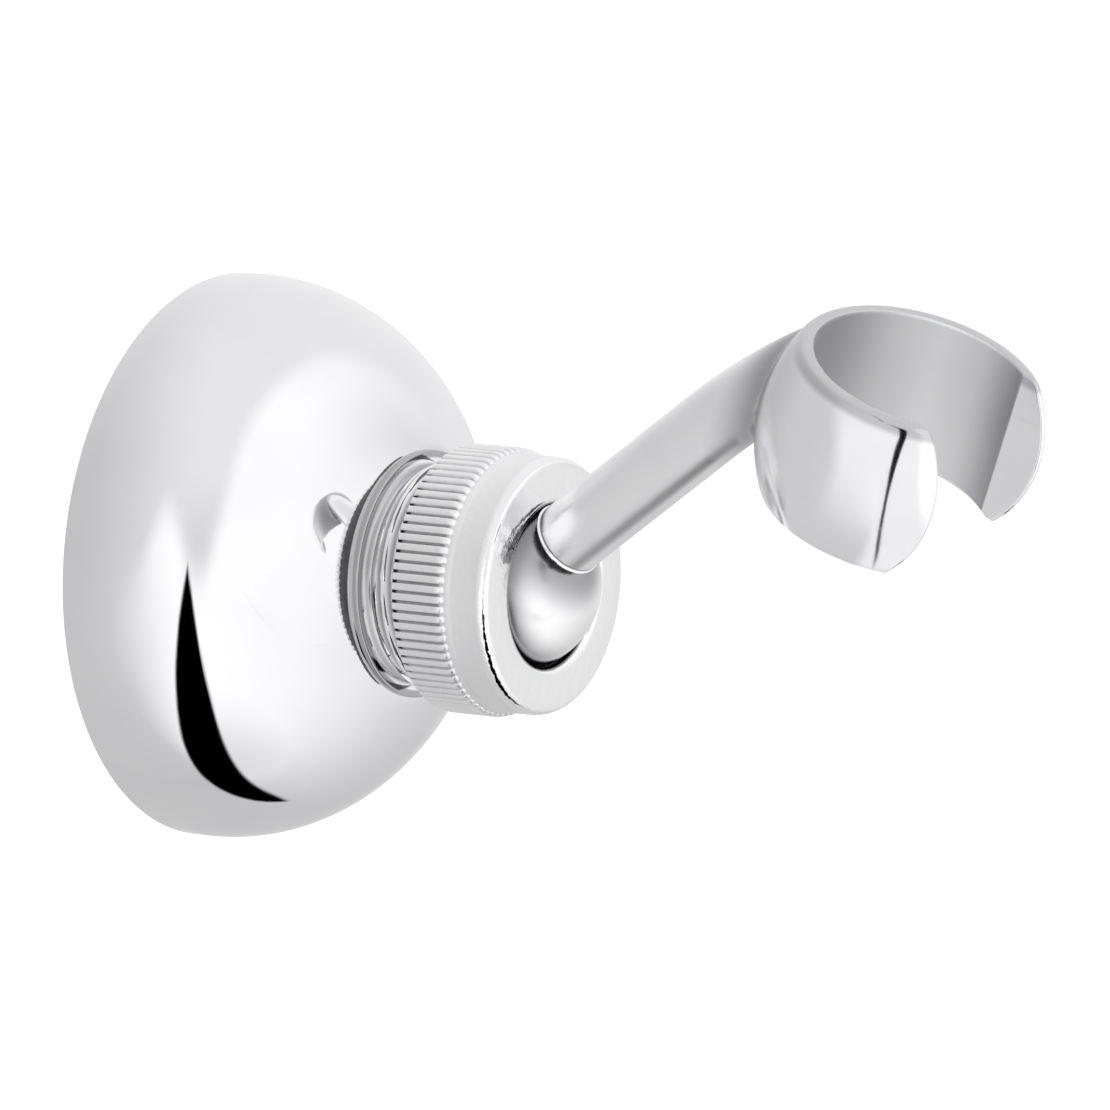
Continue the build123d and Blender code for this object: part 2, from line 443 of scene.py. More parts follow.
@dataclass(frozen=True)
class BallFinish(PlatedFinish):
    """Plating of the ball: satin where it turns in the ring, with painted shade near the mouth, round the stud's
    foot and beside the bead, and a bright bead.

    Lengths are in metres from the ball's middle, and a pair says where a change starts and where it is full.

    Attributes:
        stud_way: Direction of the stud out of the ball.
        neck_reach: Where the ball ends and the neck and the bead start.
        shade_front: Where the painted shade near the mouth ends, straight out.
        hidden: Where that painted shade starts behind the mouth, straight out.
        foot: Where the painted shade round the stud's foot starts, along the stud.
        foot_unshaded: How much of the plain colour that painted shade leaves.
        bead_out: Middle of the bead, along the stud.
        bead_aside: Where the bead's unshaded width ends and the painted shade beside it starts, from its middle.
    """

    centre: Triple = (0.0, -0.0409, 0.0)
    stud_way: Triple = OUT
    neck_reach: Pair = (0.01052, 0.01058)
    shade_front: Pair = (0.0042, 0.0084)
    hidden: Pair = (-0.00105, 0.0021)
    foot: Pair = (0.0063, 0.00945)
    foot_unshaded: float = 0.25
    painted_shade: Triple = (0.2, 0.2, 0.212)
    bead_out: float = 0.0109
    bead_aside: Pair = (0.00018, 0.0003)
    bead_sheen: Sheen = Sheen.MIRROR

    def paint(self, skin: Skin) -> Paint:
        """Paints shade onto the ball near the mouth, round the stud's foot and beside the bead, and polishes the
        bead.

        Args:
            skin: The plain plating.

        Returns:
            Colour and roughness.
        """
        pen = skin.pen
        arm = pen.vector("SUBTRACT", skin.place, self.centre)
        straight, along = (pen.vector("DOT_PRODUCT", arm, way) for way in (OUT, self.stud_way))
        # Painted shade: the ball darkens near the mouth, round the stud's foot and in narrow lines beside the
        # bead.
        ring = pen.math("MAXIMUM", pen.step(straight, *self.shade_front), pen.fall(straight, *self.hidden))
        ball = pen.product(ring, pen.step(along, *self.foot, 1.0, self.foot_unshaded))
        aside = pen.math("ABSOLUTE", pen.math("SUBTRACT", along, self.bead_out))
        neck = pen.step(pen.vector("LENGTH", arm), *self.neck_reach)
        unshaded = pen.blend(neck, ball, pen.fall(aside, *self.bead_aside))
        rough = pen.blend(neck, skin.rough, skin.polished(self.bead_sheen))
        return pen.tint(unshaded, self.painted_shade, skin.colour), rough


@dataclass(frozen=True)
class ThreadFinish(PlatedFinish):
    """Plating of the turned body, with painted shade in the roots of its thread and on its collar.

    A reach is the radius where a colour starts to change and where it has changed, in metres: from the root's
    painted shade to plain plating, and on to the painted shade on the collar.
    """

    root_reach: Pair = (0.01295, 0.01355)
    root_shade: Triple = (0.62, 0.62, 0.635)
    collar_reach: Pair = (0.01375, 0.01405)
    collar_shade: Triple = (0.46, 0.46, 0.475)

    def paint(self, skin: Skin) -> Paint:
        """Paints shade into the roots of the thread and onto the collar.

        Args:
            skin: The plain plating.

        Returns:
            Colour and roughness.
        """
        pen = skin.pen
        reach = pen.reach(skin.place)
        # Painted shade in the thread's roots, rising to plain plating at the crests, and on the collar.
        colour = pen.tint(pen.step(reach, *self.root_reach), self.root_shade, skin.colour)
        return pen.tint(pen.step(reach, *self.collar_reach), colour, self.collar_shade), skin.rough


@dataclass(frozen=True)
class NutFinish(PlatedFinish):
    """Plating of the nut: satin on the knurl and the face, a polished lip, painted shade in the mouth.

    A pair says where a zone starts or ends, in metres: a reach is a radius, and out is the distance from the
    wall. The zones are the grooves, the notches at their back ends, the mouth's wall and the back, which all get
    painted shade, the nose, the lip and the face, which gets a colour of its own.
    """

    groove_reach: Pair = (0.01546, 0.01566)
    groove_out: Pair = (0.0402, 0.041)
    groove_shade: Triple = (0.26, 0.26, 0.27)
    notch_reach: Pair = (0.0156, 0.0158)
    notch_out: Pair = (0.0345, 0.0348)
    back_out: Pair = (0.03406, 0.0341)
    back_shade: Triple = (0.2, 0.2, 0.21)
    face_out: Pair = (0.0462, 0.0465)
    face_reach: Pair = (0.0137, 0.0145)
    face_shade: Triple = (0.9, 0.9, 0.905)
    face_sheen: Sheen = Sheen.POLISHED
    mouth_reach: Pair = (0.00975, 0.00985)
    mouth_shade: Triple = (0.03, 0.03, 0.032)
    nose_out: Pair = (0.0414, 0.0419)
    nose_sheen: Sheen = Sheen.BLASTED
    lip_out: Pair = (0.0452, 0.0454)
    lip_reach: Pair = (0.0141, 0.0143)
    lip_sheen: Sheen = Sheen.MIRROR

    def paint(self, skin: Skin) -> Paint:
        """Paints shade into the grooves, their back ends, the back and the mouth, gives the face its colour and
        changes the polish from the knurl to the face.

        Args:
            skin: The plain plating.

        Returns:
            Colour and roughness.
        """
        pen, colour = skin.pen, skin.colour
        reach, out = pen.reach(skin.place), pen.vector("DOT_PRODUCT", skin.place, OUT)
        # Painted shade in the grooves, at their back ends, on the back and on the mouth's wall.
        groove = pen.product(pen.fall(reach, *self.groove_reach), pen.fall(out, *self.groove_out))
        notch = pen.product(pen.fall(reach, *self.notch_reach), pen.fall(out, *self.notch_out))
        face = pen.product(pen.step(out, *self.face_out), pen.fall(reach, *self.face_reach))
        back, mouth = pen.fall(out, *self.back_out), pen.fall(reach, *self.mouth_reach)
        for share, shade in (
            (groove, self.groove_shade), (notch, self.mouth_shade), (face, self.face_shade),
            (back, self.back_shade), (mouth, self.mouth_shade),
        ):
            colour = pen.tint(share, colour, shade)
        side = pen.blend(pen.step(out, *self.nose_out), skin.rough, skin.polished(self.nose_sheen))
        lip = pen.step(reach, *self.lip_reach)
        front = pen.blend(lip, skin.polished(self.face_sheen), skin.polished(self.lip_sheen))
        return colour, pen.blend(pen.step(out, *self.lip_out), side, front)


@dataclass(frozen=True)
class MouldedFinish:
    """Plastic or rubber as it leaves the mould.

    Attributes:
        light: Lighter colour of the flow.
        dark: Darker colour of the flow.
        grain: Grains in a metre.
        depth: Height of the grain, in metres.
        strength: How strongly the grain shows.
        spread: How far the roughness varies.
        flow: Between which noise values the colour changes.
    """

    name: str
    light: Triple
    dark: Triple
    roughness: float
    grain: float = 2500.0
    depth: float = 0.00002
    strength: float = 0.4
    spread: float = 0.2
    flow: Pair = (0.35, 0.65)

    def material(self, kit: EffectKit) -> Material:
        """Builds the material.

        Args:
            kit: The shared effects.

        Returns:
            The material.
        """
        made, pen, shader = blank_material(self.name)
        grains = {"Coordinates": pen.add("ShaderNodeTexCoord").outputs["Object"], "Grain": self.grain}
        skin = pen.add("ShaderNodeGroup", grains, node_tree=kit.skin).outputs
        colour = pen.tint(pen.step(skin["Shade"], *self.flow), self.light, self.dark)
        rough = pen.math("MULTIPLY_ADD", skin["Relief"], self.spread, self.roughness - self.spread / 2)
        normal = pen.relief([(self.strength, self.depth, skin["Relief"])])
        pen.feed(shader, {"Base Color": colour, "Roughness": rough, "Normal": normal})
        return made


def dress(node: str, finish: PlatedFinish | MouldedFinish, kit: EffectKit) -> None:
    """Gives a CAD node its finish.

    Args:
        node: Name of the node.
        finish: The finish.
        kit: The shared effects.
    """
    piece = frame["nodes"][node]
    piece.data.materials.clear()
    piece.data.materials.append(finish.material(kit))
    LOG.info("dressed %s with %s", node, finish.name)


@dataclass
class SpunPiece:
    """A piece turned round the wall's normal, which stands for a CAD node.

    Attributes:
        name: Name of the piece.
        node: The CAD node that it replaces.
        body: Body that it moves with.
        facets: Number of facets in a sector.
        sectors: Number of equal sectors in a full turn.
        slot: The record's material slot, not used.
        core: Radius under which nothing is carved, in metres.
        weld: Distance under which two corners are one, in metres.
        crease: Angle from which an edge stays sharp, in degrees.
    """

    name: str
    node: str
    body: str
    facets: int
    sectors: int = 1
    slot: str = "chrome"
    core: float = 0.0001
    weld: float = 0.000001
    crease: float = 32.0

    def outline(self) -> Line:
        """Draws half of the section, as distances from the axis and from the wall in metres."""
        raise NotImplementedError

    def carved(self, reach: float, out: float, turn: float) -> float:
        """Leaves a corner's distance from the axis as it is, for pieces that are carved to override."""
        return reach

    def turned(self) -> bpy.types.Object:
        """Turns the outline round the wall's normal and carves it: one sector, then its copies.

        Returns:
            The piece.
        """
        outline = self.outline()
        bpy.ops.object.select_all(action="DESELECT")
        bpy.ops.mesh.primitive_circle_add(vertices=len(outline), radius=outline[1][0])
        piece = bpy.context.object
        piece.name = self.name
        piece.data.name = self.name
        for corner, (reach, out) in zip(piece.data.vertices, outline):
            corner.co = (reach, -out, 0.0)
        axis = {"center": (0.0, 0.0, 0.0), "axis": OUT}
        bpy.ops.object.mode_set(mode="EDIT")
        bpy.ops.mesh.select_all(action="SELECT")
        bpy.ops.mesh.spin(steps=self.facets, angle=2 * math.pi / self.sectors, **axis)
        bpy.ops.object.mode_set(mode="OBJECT")
        for corner in piece.data.vertices:
            reach = math.hypot(corner.co.x, corner.co.z)
            if reach > self.core:
                scale = self.carved(reach, -corner.co.y, math.atan2(corner.co.z, corner.co.x)) / reach
                corner.co.x *= scale
                corner.co.z *= scale
        bpy.ops.object.mode_set(mode="EDIT")
        if self.sectors > 1:
            bpy.ops.mesh.select_all(action="SELECT")
            bpy.ops.mesh.spin(steps=self.sectors, angle=2 * math.pi, dupli=True, **axis)
        bpy.ops.mesh.select_all(action="SELECT")
        bpy.ops.mesh.remove_doubles(threshold=self.weld)
        bpy.ops.mesh.delete_loose()
        bpy.ops.mesh.select_all(action="SELECT")
        bpy.ops.mesh.normals_make_consistent(inside=False)
        bpy.ops.object.mode_set(mode="OBJECT")
        bpy.ops.object.shade_smooth_by_angle(angle=math.radians(self.crease))
        return piece

    def build(self, finish: PlatedFinish, kit: EffectKit) -> None:
        """Builds the piece, dresses it and lets it stand for the CAD node.

        Args:
            finish: Its plating.
            kit: The shared effects.
        """
        piece = self.turned()
        piece.data.materials.append(finish.material(kit))
        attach(piece, self.body)
        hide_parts(self.node)
        LOG.info("built %s for %s with %s, %d faces", self.name, self.node, finish.name, len(piece.data.polygons))


@dataclass
class SpunRose(SpunPiece):
    """The hollow bell against the wall, with a flat land round its hole, in metres."""

    name: str = "spun_rose"
    node: str = "wall_rose"
    body: str = "base"
    facets: int = 8
    sectors: int = 24
    reach: float = 0.034
    edge: float = 0.002
    rise: float = 0.0288
    front: float = 0.0278
    wall: float = 0.0015
    hole: float = 0.0129
    rows: int = 96
    inner_rows: int = 32

    def bell(self, inset: float, rows: int) -> list[Pair]:
        """Draws the bell's curve from its edge to its land.

        Args:
            inset: How far inside the bell's outside it runs, in metres.
            rows: Number of steps.

        Returns:
            The curve's corners.
        """
        reach, rise = self.reach - inset, self.rise - inset
        top = math.asin((self.front - inset - self.edge) / rise)
        turns = [top * row / rows for row in range(rows + 1)]
        return [(reach * math.cos(turn), self.edge + rise * math.sin(turn)) for turn in turns]

    def outline(self) -> Line:
        """Draws half of the bell's section.

        Returns:
            The outline's corners.
        """
        return (
            (self.reach, 0.0), *self.bell(0.0, self.rows),
            (self.hole, self.front), (self.hole, self.front - self.wall),
            *reversed(self.bell(self.wall, self.inner_rows)), (self.reach - self.wall, 0.0),
        )


@dataclass
class ThreadedBody(SpunPiece):
    """The turned body: stem, hub, collar and the neck with its running thread, in metres."""

    name: str = "threaded_body"
    node: str = "socket_body"
    body: str = "base"
    facets: int = 160
    stem_back: float = 0.001
    stem_reach: float = 0.009
    hub_back: float = 0.022
    hub_reach: float = 0.0126
    collar_back: float = 0.0278
    collar_front: float = 0.0287
    collar_reach: float = 0.0148
    edge: float = 0.0003
    edge_rows: int = 4
    root: float = 0.01285
    crest: float = 0.01375
    pitch: float = 0.0015
    crest_half: float = 0.0002
    ridge_half: float = 0.00066
    run_in: float = 0.0293
    neck_front: float = 0.0395
    socket_reach: float = 0.0116
    socket_floor: float = 0.0275
    row: float = 0.0001

    def outline(self) -> Line:
        """Draws half of the body's section, with close rows along the neck.

        Returns:
            The outline's corners.
        """
        rows = round((self.neck_front - self.collar_front) / self.row)
        neck = [(self.root, self.collar_front + self.row * row) for row in range(rows + 1)]
        inner = self.collar_reach - self.edge
        return (
            (0.0, self.stem_back), (self.stem_reach - self.edge, self.stem_back),
            (self.stem_reach, self.stem_back + self.edge), (self.stem_reach, self.hub_back),
            (self.hub_reach, self.hub_back), (self.hub_reach, self.collar_back),
            (self.collar_reach, self.collar_back),
            *rounded(inner, self.collar_front - self.edge, self.edge, 0.0, 90.0, self.edge_rows),
            *neck, (self.socket_reach, self.neck_front), (self.socket_reach, self.socket_floor),
            (0.0, self.socket_floor),
        )

    def carved(self, reach: float, out: float, turn: float) -> float:
        """Raises the running thread on the neck.

        Args:
            reach: Distance from the axis.
            out: Distance from the wall.
            turn: Turn round the axis, in radians.

        Returns:
            The new distance from the axis.
        """
        if abs(reach - self.root) > self.row or out < self.collar_front + self.row:
            return reach
        aside = abs((out / self.pitch - turn / (2 * math.pi)) % 1.0 - 0.5) * self.pitch
        height = (self.ridge_half - aside) / (self.ridge_half - self.crest_half)
        start = (out - self.run_in) / self.pitch
        end = (self.neck_front - out) / self.pitch
        return self.root + (self.crest - self.root) * max(0.0, min(1.0, height, start, end))


@dataclass
class KnurledNut(SpunPiece):
    """The clamp nut: finger-shaped knurls, a smooth nose with a lip and the ball's mouth, in metres.

    The lip is the radius and the last direction, in degrees, of each arc from the nose to the face.
    """

    name: str = "knurled_nut"
    node: str = "clamp_nut"
    body: str = "nut"
    facets: int = 12
    sectors: int = 84
    back: float = 0.03405
    face: float = 0.0468
    bore: float = 0.0138
    root: float = 0.0155
    crest: float = 0.016
    edge: float = 0.0003
    knurl_front: float = 0.0414
    close: float = 0.00001
    slope_back: float = 0.04
    slope: float = 0.0014
    slope_rows: int = 12
    finger_tip: float = 0.0412
    finger_half: float = 0.0005
    finger_round: int = 4
    finger_row: float = 0.0016
    finger_rows: int = 4
    nose_back: float = 0.042
    nose_step: Pair = (0.00004, 0.0001)
    nose: float = 0.0153
    lip: Line = ((0.0005, 6.0), (0.0023, 35.0), (0.0006, 90.0))
    lip_lead: float = 0.0008
    lip_rows: int = 6
    face_row: float = 0.0125
    mouth: float = 0.00972
    mouth_edge: float = 0.001
    mouth_rows: int = 8
    ball_out: float = 0.0409
    ball_room: float = 0.0108
    bowl_rows: int = 4
    pocket: float = 0.013
    pocket_front: float = 0.0444
    pocket_back: float = 0.041

    def outline(self) -> Line:
        """Draws half of the nut's section, with close rows where the fingers end.

        Returns:
            The outline's corners.
        """
        start, depth = self.back + self.edge, self.crest - self.root
        straight = [(self.crest, start + self.finger_row * row) for row in range(self.finger_rows)]
        shares = [row / self.slope_rows for row in range(self.slope_rows + 1)]
        fall = [(self.crest - depth * share**2, self.slope_back + self.slope * share) for share in shares]
        throat = math.sqrt(self.ball_room**2 - self.mouth**2)
        deep = self.pocket_front - self.ball_out
        bowl = [throat + (deep - throat) * row / self.bowl_rows for row in range(self.bowl_rows + 1)]
        inner, front = self.mouth + self.mouth_edge, self.face - self.mouth_edge
        rise, half = self.nose_step
        return (
            (self.bore + self.edge, self.back), (self.root, self.back), (self.crest - self.edge, self.back),
            *straight, *fall, (self.nose + rise, self.nose_back - half), (self.nose, self.nose_back + half),
            *self.lip_corners(), (self.face_row, self.face),
            *rounded(inner, front, self.mouth_edge, 90.0, 180.0, self.mouth_rows),
            *[(math.sqrt(self.ball_room**2 - out**2), self.ball_out + out) for out in bowl],
            (self.pocket, self.pocket_front), (self.pocket, self.pocket_back), (self.bore, self.pocket_back),
            (self.bore, self.back + self.edge),
        )

    def lip_corners(self) -> Line:
        """Draws the lip from the nose to the face: a small edge, a flatter middle and a small edge.

        Returns:
            The lip's corners, with one on the nose before it.
        """
        starts = [0.0, *(end for _, end in self.lip)]
        arcs = [(radius, start, end) for start, (radius, end) in zip(starts, self.lip)]
        out = self.face - sum(
            radius * (math.sin(math.radians(end)) - math.sin(math.radians(start))) for radius, start, end in arcs
        )
        corners = [(self.nose, out - self.lip_lead), (self.nose, out)]
        for radius, start, end in arcs:
            reach, out = corners.pop()
            reach -= radius * math.cos(math.radians(start))
            out -= radius * math.sin(math.radians(start))
            corners += rounded(reach, out, radius, start, end, self.lip_rows)
        return tuple(corners)

    def carved(self, reach: float, out: float, turn: float) -> float:
        """Cuts the grooves between the fingers and rounds the fingers' tips.

        Args:
            reach: Distance from the axis.
            out: Distance from the wall.
            turn: Turn round the axis, in radians.

        Returns:
            The new distance from the axis.
        """
        if reach < self.root + self.close or out > self.knurl_front:
            return reach
        pitch = 2 * math.pi / self.sectors
        aside = abs((turn / pitch + 0.5) % 1.0 - 0.5) * pitch * self.crest
        past = max(0.0, out - self.finger_tip + self.finger_half)
        share = min(1.0, math.hypot(aside, past) / self.finger_half)
        return self.root + (reach - self.root) * math.sqrt(1.0 - share**self.finger_round)


@dataclass
class WallCover:
    """What sits against the wall: the plate and the rose over it."""

    rose: SpunRose = field(default_factory=SpunRose)
    rose_finish: PlatedFinish = PlatedFinish("spun_rose_plating", Sheen.MIRROR, haze=0.02, ring_pitch=0.0011)
    plate: PlatedFinish = PlatedFinish(
        "zinc_plate", Sheen.DULL, bright=(0.62, 0.63, 0.66), cool=(0.48, 0.49, 0.52), haze=0.15,
        ring_pitch=0.0004,
    )

    def dress(self, kit: EffectKit) -> None:
        """Builds the rose and dresses the plate."""
        self.rose.build(self.rose_finish, kit)
        dress("wall_plate", self.plate, kit)


@dataclass
class BallClamp:
    """The turned body, the nut on its neck and the soft pieces that hold the ball."""

    body: ThreadedBody = field(default_factory=ThreadedBody)
    nut: KnurledNut = field(default_factory=KnurledNut)
    body_finish: ThreadFinish = ThreadFinish(
        "turned_body_plating", Sheen.BUFFED, bright=(0.97, 0.97, 0.975), cool=(0.93, 0.93, 0.94),
        ring_pitch=0.0003,
    )
    nut_finish: NutFinish = NutFinish(
        "knurled_nut_plating", Sheen.DULL, bright=(0.91, 0.909, 0.918), cool=(0.87, 0.868, 0.883), haze=0.06,
        ring_pitch=0.00025, grain_depth=0.0002,
    )
    washer: MouldedFinish = MouldedFinish("washer_rubber", (0.055, 0.055, 0.056), (0.04, 0.04, 0.042), 0.75)
    seat: MouldedFinish = MouldedFinish("seat_moulding", (0.07, 0.07, 0.075), (0.05, 0.05, 0.055), 0.45)
    ring: MouldedFinish = MouldedFinish("ring_moulding", (0.062, 0.062, 0.066), (0.05, 0.05, 0.054), 0.42, 3500.0)

    def dress(self, kit: EffectKit) -> None:
        """Builds the body and the nut, and dresses the soft pieces.

        Args:
            kit: The shared effects.
        """
        self.body.build(self.body_finish, kit)
        self.nut.build(self.nut_finish, kit)
        for node, finish in (("seat_washer", self.washer), ("ball_seat", self.seat), ("friction_ring", self.ring)):
            dress(node, finish, kit)


@dataclass
class HoseArm:
    """The ball and the arm that it carries, with the open barrel for the hose cone."""

    ball: BallFinish = BallFinish(
        "ball_plating", Sheen.SATIN, bright=(0.95, 0.95, 0.96), cool=(0.92, 0.92, 0.935), haze=0.04,
        stud_way=(-0.1548, -0.8098, 0.5659),
    )

    def casting(self) -> CradleFinish:
        """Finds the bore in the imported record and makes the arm's finish round it.

        Returns:
            The finish of the cast arm.
        """
        bore = next(mount for mount in frame["record"]["mounts"] if mount["name"] == "cradle")
        centre, axis = Vector(bore["pos_m"]), Vector(bore["axis"])
        root = Vector(self.ball.centre) - centre
        ahead = (axis * root.dot(axis) - root).normalized()
        return CradleFinish(
            "cast_arm_plating", Sheen.SATIN, bright=(0.93, 0.929, 0.943), cool=(0.89, 0.888, 0.91), haze=0.05,
            bore_centre=tuple(centre), bore_axis=tuple(axis), slot_way=tuple(ahead),
        )

    def dress(self, kit: EffectKit) -> None:
        """Dresses both pieces."""
        dress("ball_stud", self.ball, kit)
        dress("cradle_arm", self.casting(), kit)


@dataclass(frozen=True)
class Bearings:
    """A direction in a shader tree, measured from the slit.

    Attributes:
        pen: Hand for the tree.
        climb: Degrees along the slit, up from straight below.
        aside: Degrees aside from it.
    """

    pen: NodeSketch
    climb: NodeSocket
    aside: NodeSocket


@dataclass(frozen=True)
class Stripe:
    """A dark stripe that runs along the slit's line.

    Attributes:
        left: Its left edge in degrees aside, by degrees along.
        right: Its right edge.
        blur: Half width of its soft edges, in degrees.
    """

    left: Line
    right: Line
    blur: float

    def beside(self, at: Bearings) -> NodeSocket:
        """Tells what lies beside the stripe from the stripe.

        Args:
            at: The direction.

        Returns:
            0 in the stripe and 1 beside it.
        """
        past_left = at.pen.math("SUBTRACT", at.aside, at.pen.ramp(at.climb, self.left))
        past_right = at.pen.math("SUBTRACT", at.pen.ramp(at.climb, self.right), at.aside)
        return at.pen.fall(at.pen.math("MINIMUM", past_left, past_right), -self.blur, self.blur)


@dataclass
class LightTent:
    """White tent round the holder: world with the dark slit that the lens looks through, small card, pale floor.

    Lengths are in metres. Degrees along count up the slit from straight below, degrees aside to its right. A
    pair says where a change starts and where it ends, and a blur is half the width of a soft edge.

    Attributes:
        floor_glow: Light that the floor adds for the camera.
        upper: Brightness of the tent far to the right, by compass direction in degrees.
        lower: Brightness of its lower half, by the same degrees.
        rear: Brightness of its roof and rear, by degrees aside.
        bay: Brightness beside the slit's upper end, by degrees aside.
        bay_end: Where that end's light stops in degrees along, by degrees aside.
        front: Brightness of its front by degrees along, over the roof and down behind.
        front_edge: Where the front starts in degrees aside, by degrees along.
        far_right: Where the far right takes over, in degrees aside.
        rise: Where the upper half takes over, in degrees over the horizon.
        ground: Where the ground ends, in degrees over the horizon.
        underneath: Most that the ground gives.
        lamps: Strength of the lamps behind the cloth.
        slit_turn: Compass direction of the slit, which runs from under the holder up to the lens.
        fold_dark: How much the fold in the cloth above the slit darkens the tent.
        fold_core: Share of the fold's half width that is evenly dark.
        fold_climb: Where the fold is narrow and where it is wide, in degrees along.
        fold_half: Its half width at both, and fold_middle its place in degrees aside.
        fold_start: Where it sets in, in degrees along, and fold_end where it thins out.
        card_centre: Middle of the ball of radius card_reach that the card under the horns is a piece of.
        card_grid: Rows and columns of the card's corners.
        card_view: How long a ray may be to see the card.
        card_climb: Where the card starts and ends, in degrees along.
        card_aside: Its two sides, in degrees aside, and card_fade how wide they thin out.
        card_top: Where it ends above the gap, in degrees along.
        wing_full: Where its left wing is white, in degrees aside.
        wing_climb: How white the wing is, by degrees along.
        gap: The gap in the card.
    """

    floor_z: float = -0.39
    floor_half: float = 9.0
    floor_grey: Triple = (0.82, 0.82, 0.82)
    floor_rough: float = 0.9
    floor_glow: float = 0.4
    upper: Line = (
        (-180.0, 0.62), (-130.0, 0.55), (-110.0, 0.58), (-90.0, 0.69), (-70.0, 0.96), (-32.0, 0.97),
        (12.0, 0.96), (40.0, 0.82), (65.0, 0.66), (88.0, 0.66), (110.0, 0.76), (130.0, 0.75), (180.0, 0.62),
    )
    lower: Line = (
        (-180.0, 0.53), (-110.0, 0.54), (-90.0, 0.76), (-68.0, 1.03), (-30.0, 0.97), (0.0, 0.92), (40.0, 0.78),
        (80.0, 0.6), (110.0, 0.52), (180.0, 0.52),
    )
    rear: Line = even(-84.0, 12.0, 0.53, 0.53, 0.535, 0.565, 0.62, 0.675, 0.748, 0.785, 0.78, 0.79, 0.8)
    bay: Line = even(-84.0, 12.0, 0.53, 0.53, 0.54, 0.56, 0.57, 0.83, 1.0, 0.98, 0.98, 0.98, 0.98)
    bay_end: Line = even(-48.0, 12.0, 85.0, 85.0, 92.0, 126.0, 93.0, 86.0, 86.0)
    bay_blur: float = 12.0
    front: Line = even(60.0, 30.0, 0.98, 0.98, 0.985, 0.985, 0.97, 0.9, 0.82, 0.72)
    front_edge: Line = even(60.0, 30.0, 0.0, 10.0, 17.0, 20.0, 28.0, 31.0, 36.0, 40.0)
    front_blur: float = 5.0
    far_right: Pair = (40.0, 62.0)
    rise: Pair = (-30.0, 10.0)
    ground: Pair = (-80.0, -42.0)
    underneath: float = 0.74
    lamps: float = 1.22
    slit_turn: float = -62.1
    slit: Stripe = Stripe(
        left=even(
            -40.0, 10.0,
            20.3, 12.0, 5.7, 0.1, -4.4, -6.9, -8.2, -8.6, -8.4, -7.8, -6.7, -5.2, -3.3, -1.2, 1.2, 5.1,
        ),
        right=even(
            -40.0, 10.0,
            8.4, 12.3, 12.0, 10.2, 8.8, 8.0, 7.4, 7.1, 6.7, 5.7, 4.7, 3.5, 2.3, 0.5, -1.3, -4.5,
        ),
        blur=0.8,
    )
    fold_dark: float = 0.14
    fold_core: float = 0.1
    fold_climb: Pair = (84.0, 150.0)
    fold_half: Pair = (9.0, 24.0)
    fold_middle: Pair = (3.0, 7.0)
    fold_start: Pair = (72.0, 97.0)
    fold_end: Pair = (100.0, 132.0)
    card_centre: Triple = (-0.0225, -0.1055, 0.0209)
    card_reach: float = 0.06
    card_grid: tuple[int, int] = (53, 23)
    card_view: Pair = (0.064, 0.067)
    card_climb: Pair = (-22.0, 160.0)
    card_aside: Pair = (-64.0, 22.0)
    card_top: Pair = (108.0, 112.0)
    card_fade: float = 8.0
    card_level: float = 0.95
    wing_full: float = -46.0
    wing_climb: Line = even(-20.0, 20.0, 0.0, 0.05, 0.4, 0.65, 0.9, 1.0, 1.0, 0.8, 0.35, 0.0)
    gap: Stripe = Stripe(
        left=even(
            -20.0, 10.0,
            -10.6, -11.2, -11.5, -12.0, -12.1, -11.9, -11.2, -10.4, -9.3, -8.0, -5.8, -3.8, 2.3, -14.0,
        ),
        right=even(
            -20.0, 10.0,
            -11.2, -10.2, -9.8, -9.8, -9.7, -9.2, -8.5, -7.5, -5.3, -3.2, 0.0, 3.2, 9.0, -12.0,
        ),
        blur=0.5,
    )

    def axes(self) -> tuple[Vector, Vector]:
        """Gives the level directions towards the slit and to its right."""
        angle = math.radians(self.slit_turn)
        return Vector((math.sin(angle), -math.cos(angle), 0.0)), Vector((math.cos(angle), math.sin(angle), 0.0))

    def bearings(self, pen: NodeSketch, way: NodeSocket) -> Bearings:
        """Measures a direction along and across the slit.

        Args:
            pen: Hand for the tree.
            way: The direction, of length 1.

        Returns:
            Its bearings.
        """
        ahead, aside = (pen.vector("DOT_PRODUCT", way, axis) for axis in self.axes())
        down = pen.vector("DOT_PRODUCT", way, (0.0, 0.0, -1.0))
        climb = pen.math("DEGREES", pen.math("ARCTAN2", ahead, down))
        return Bearings(pen, climb, pen.math("DEGREES", pen.math("ARCSINE", aside)))

    def card(self) -> None:
        """Hangs the white card under the horns, a piece of a ball round them that only reflections show."""
        rows, columns = self.card_grid
        bpy.ops.object.select_all(action="DESELECT")
        bpy.ops.mesh.primitive_grid_add(x_subdivisions=columns - 1, y_subdivisions=rows - 1, size=1.0)
        sheet = bpy.context.object
        sheet.name = "reflector_card"
        along, across = self.axes()
        (low, high), (left, right) = self.card_climb, self.card_aside
        for corner in sheet.data.vertices:
            climb = math.radians(low + (high - low) * (corner.co.y + 0.5))
            aside = math.radians(left + (right - left) * (corner.co.x + 0.5))
            level = along * math.sin(climb) - Vector((0.0, 0.0, math.cos(climb)))
            way = level * math.cos(aside) + across * math.sin(aside)
            corner.co = Vector(self.card_centre) + self.card_reach * way
        sheet.data.materials.append(self.card_paint())
        for kind in ("camera", "diffuse", "transmission", "shadow", "volume_scatter"):
            setattr(sheet, "visible_" + kind, False)

